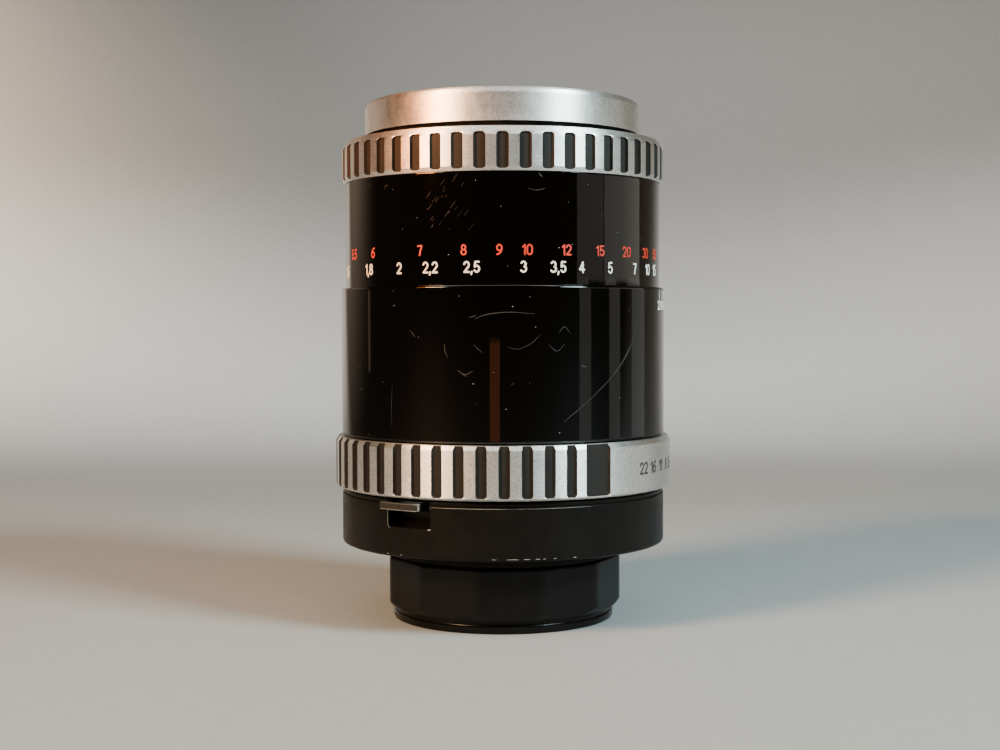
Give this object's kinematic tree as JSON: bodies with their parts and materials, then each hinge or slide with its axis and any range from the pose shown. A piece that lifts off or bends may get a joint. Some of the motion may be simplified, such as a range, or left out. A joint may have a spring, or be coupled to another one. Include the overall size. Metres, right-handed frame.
{
  "type": "camera lens",
  "caption": "Telephoto camera lens standing on its rear cap: fluted focus and aperture rings, black scale barrels, iris blades, auto-manual lever and glass elements.",
  "frame": {"origin": "on the optical axis, at the foot of the rear cap, on the surface that the lens stands on", "axes": "+Z along the optical axis from the rear cap to the front element; -Y is the side that carries the auto-manual lever and faces the viewer; +X is to the viewer's right, where the index marks are"},
  "size_m": [0.0684, 0.0684, 0.1041],
  "materials": {
    "gloss_black": "high-gloss black lacquer on aluminium",
    "satin_black": "satin black lacquer",
    "flock_black": "matt anti-reflection black",
    "bright_alloy": "satin turned aluminium",
    "inner_alloy": "machined",
    "brass": "machined",
    "steel": "bright",
    "blade_steel": "blackened",
    "coated_glass": "polished, violet single coating",
    "clear_glass": "polished",
    "cap_plastic": "moulded satin black",
    "white_marking": "white engraved numbers and lines",
    "red_marking": "red engraved numbers",
    "black_marking": "black engraved numbers and painted flute floors"
  },
  "bodies": {
    "lens_body": {"lower_barrel": "gloss_black", "fixed_helicoid": "brass", "focus_key_1": "steel", "focus_key_2": "steel", "rear_housing": "satin_black", "lever_guide_ring": "satin_black", "mount_ring": "inner_alloy", "rear_baffle": "flock_black", "mount_screw_1": "steel", "mount_screw_2": "steel", "mount_screw_3": "steel", "focus_stop_screw": "steel", "click_ball": "steel", "click_leaf_spring": "brass", "pin_bracket": "inner_alloy", "rocker_post": "inner_alloy", "pin_spring": "steel"},
    "cap": {"rear_cap": "cap_plastic"},
    "lever": {"auto_manual_lever": "steel"},
    "stop_pin": {"aperture_pin": "steel"},
    "rocker_arm": {"rocker": "steel"},
    "stop_ring": {"aperture_ring": "bright_alloy", "aperture_drive_pin": "steel", "drive_ring": "inner_alloy", "drive_fork": "inner_alloy"},
    "optics": {"inner_barrel": "flock_black", "filter_ring": "bright_alloy", "name_ring": "satin_black", "front_element": "coated_glass", "spacer_ring": "flock_black", "front_cell": "flock_black", "front_cell_ring": "flock_black", "second_element": "clear_glass", "third_element": "clear_glass", "iris_housing": "flock_black", "iris_retaining_ring": "brass", "rear_cell": "flock_black", "rear_cell_ring": "flock_black", "fourth_element": "clear_glass", "rear_element": "coated_glass"},
    "focus_ring": {"focus_grip": "bright_alloy", "scale_sleeve": "gloss_black", "focus_helicoid": "brass", "grip_lock_ring": "inner_alloy"},
    "iris_cam": {"iris_cam_ring": "brass", "iris_link_bar": "steel"},
    "blade_1": {"iris_blade_1": "blade_steel"},
    "blade_2": {"iris_blade_2": "blade_steel"},
    "blade_3": {"iris_blade_3": "blade_steel"},
    "blade_4": {"iris_blade_4": "blade_steel"},
    "blade_5": {"iris_blade_5": "blade_steel"},
    "blade_6": {"iris_blade_6": "blade_steel"}
  },
  "joints": [
    {"name": "focus_extend", "type": "slide", "parent": "lens_body", "child": "optics", "axis": [0, 0, 1], "range_m": [0, 0.0149]},
    {"name": "focus_turn", "type": "hinge", "parent": "optics", "child": "focus_ring", "pos_m": [0, 0, 0.09], "axis": [0, 0, 1], "range_deg": [0, 170.7]},
    {"name": "aperture_turn", "type": "hinge", "parent": "lens_body", "child": "stop_ring", "pos_m": [0, 0, 0.032], "axis": [0, 0, 1], "range_deg": [-6.3, 31.5]},
    {"name": "iris_cam_turn", "type": "hinge", "parent": "optics", "child": "iris_cam", "pos_m": [0, 0, 0.066], "axis": [0, 0, 1], "range_deg": [-6.4, 31.6]},
    {"name": "lever_slide_round", "type": "hinge", "parent": "lens_body", "child": "lever", "pos_m": [0, 0, 0.0254], "axis": [0, 0, 1], "range_deg": [-12, 0]},
    {"name": "pin_push", "type": "slide", "parent": "lens_body", "child": "stop_pin", "axis": [0, 0, 1], "range_m": [0, 0.002], "stiffness_N_per_m": 300, "springref_m": -0.002, "deforming": ["pin_spring"]},
    {"name": "rocker_swing", "type": "hinge", "parent": "lens_body", "child": "rocker_arm", "pos_m": [-0.01833, -0.00411, 0.032], "axis": [0.9945, -0.1045, 0], "range_deg": [0, 19.2]},
    {"name": "cap_off", "type": "slide", "parent": "lens_body", "child": "cap", "axis": [0, 0, -1], "range_m": [0, 0.03]},
    {"name": "blade_1_swing", "type": "hinge", "parent": "optics", "child": "blade_1", "pos_m": [0, -0.0199, 0.07], "axis": [0, 0, 1], "range_deg": [-5.23, 25.75]},
    {"name": "blade_2_swing", "type": "hinge", "parent": "optics", "child": "blade_2", "pos_m": [0.01723, -0.00995, 0.07], "axis": [0, 0, 1], "range_deg": [-5.23, 25.75]},
    {"name": "blade_3_swing", "type": "hinge", "parent": "optics", "child": "blade_3", "pos_m": [0.01723, 0.00995, 0.07], "axis": [0, 0, 1], "range_deg": [-5.23, 25.75]},
    {"name": "blade_4_swing", "type": "hinge", "parent": "optics", "child": "blade_4", "pos_m": [0, 0.0199, 0.07], "axis": [0, 0, 1], "range_deg": [-5.23, 25.75]},
    {"name": "blade_5_swing", "type": "hinge", "parent": "optics", "child": "blade_5", "pos_m": [-0.01723, 0.00995, 0.07], "axis": [0, 0, 1], "range_deg": [-5.23, 25.75]},
    {"name": "blade_6_swing", "type": "hinge", "parent": "optics", "child": "blade_6", "pos_m": [-0.01723, -0.00995, 0.07], "axis": [0, 0, 1], "range_deg": [-5.23, 25.75]}
  ],
  "couplings": [
    {"joint": "focus_extend", "follows": "focus_turn", "m_per_rad": 0.00497},
    {"joint": "iris_cam_turn", "follows": "aperture_turn", "ratio": 1},
    {"joint": "rocker_swing", "follows": "pin_push", "rad_per_m": 166.67},
    {"joint": "blade_1_swing", "follows": "aperture_turn", "ratio": 0.81424},
    {"joint": "blade_2_swing", "follows": "aperture_turn", "ratio": 0.81424},
    {"joint": "blade_3_swing", "follows": "aperture_turn", "ratio": 0.81424},
    {"joint": "blade_4_swing", "follows": "aperture_turn", "ratio": 0.81424},
    {"joint": "blade_5_swing", "follows": "aperture_turn", "ratio": 0.81424},
    {"joint": "blade_6_swing", "follows": "aperture_turn", "ratio": 0.81424}
  ]
}
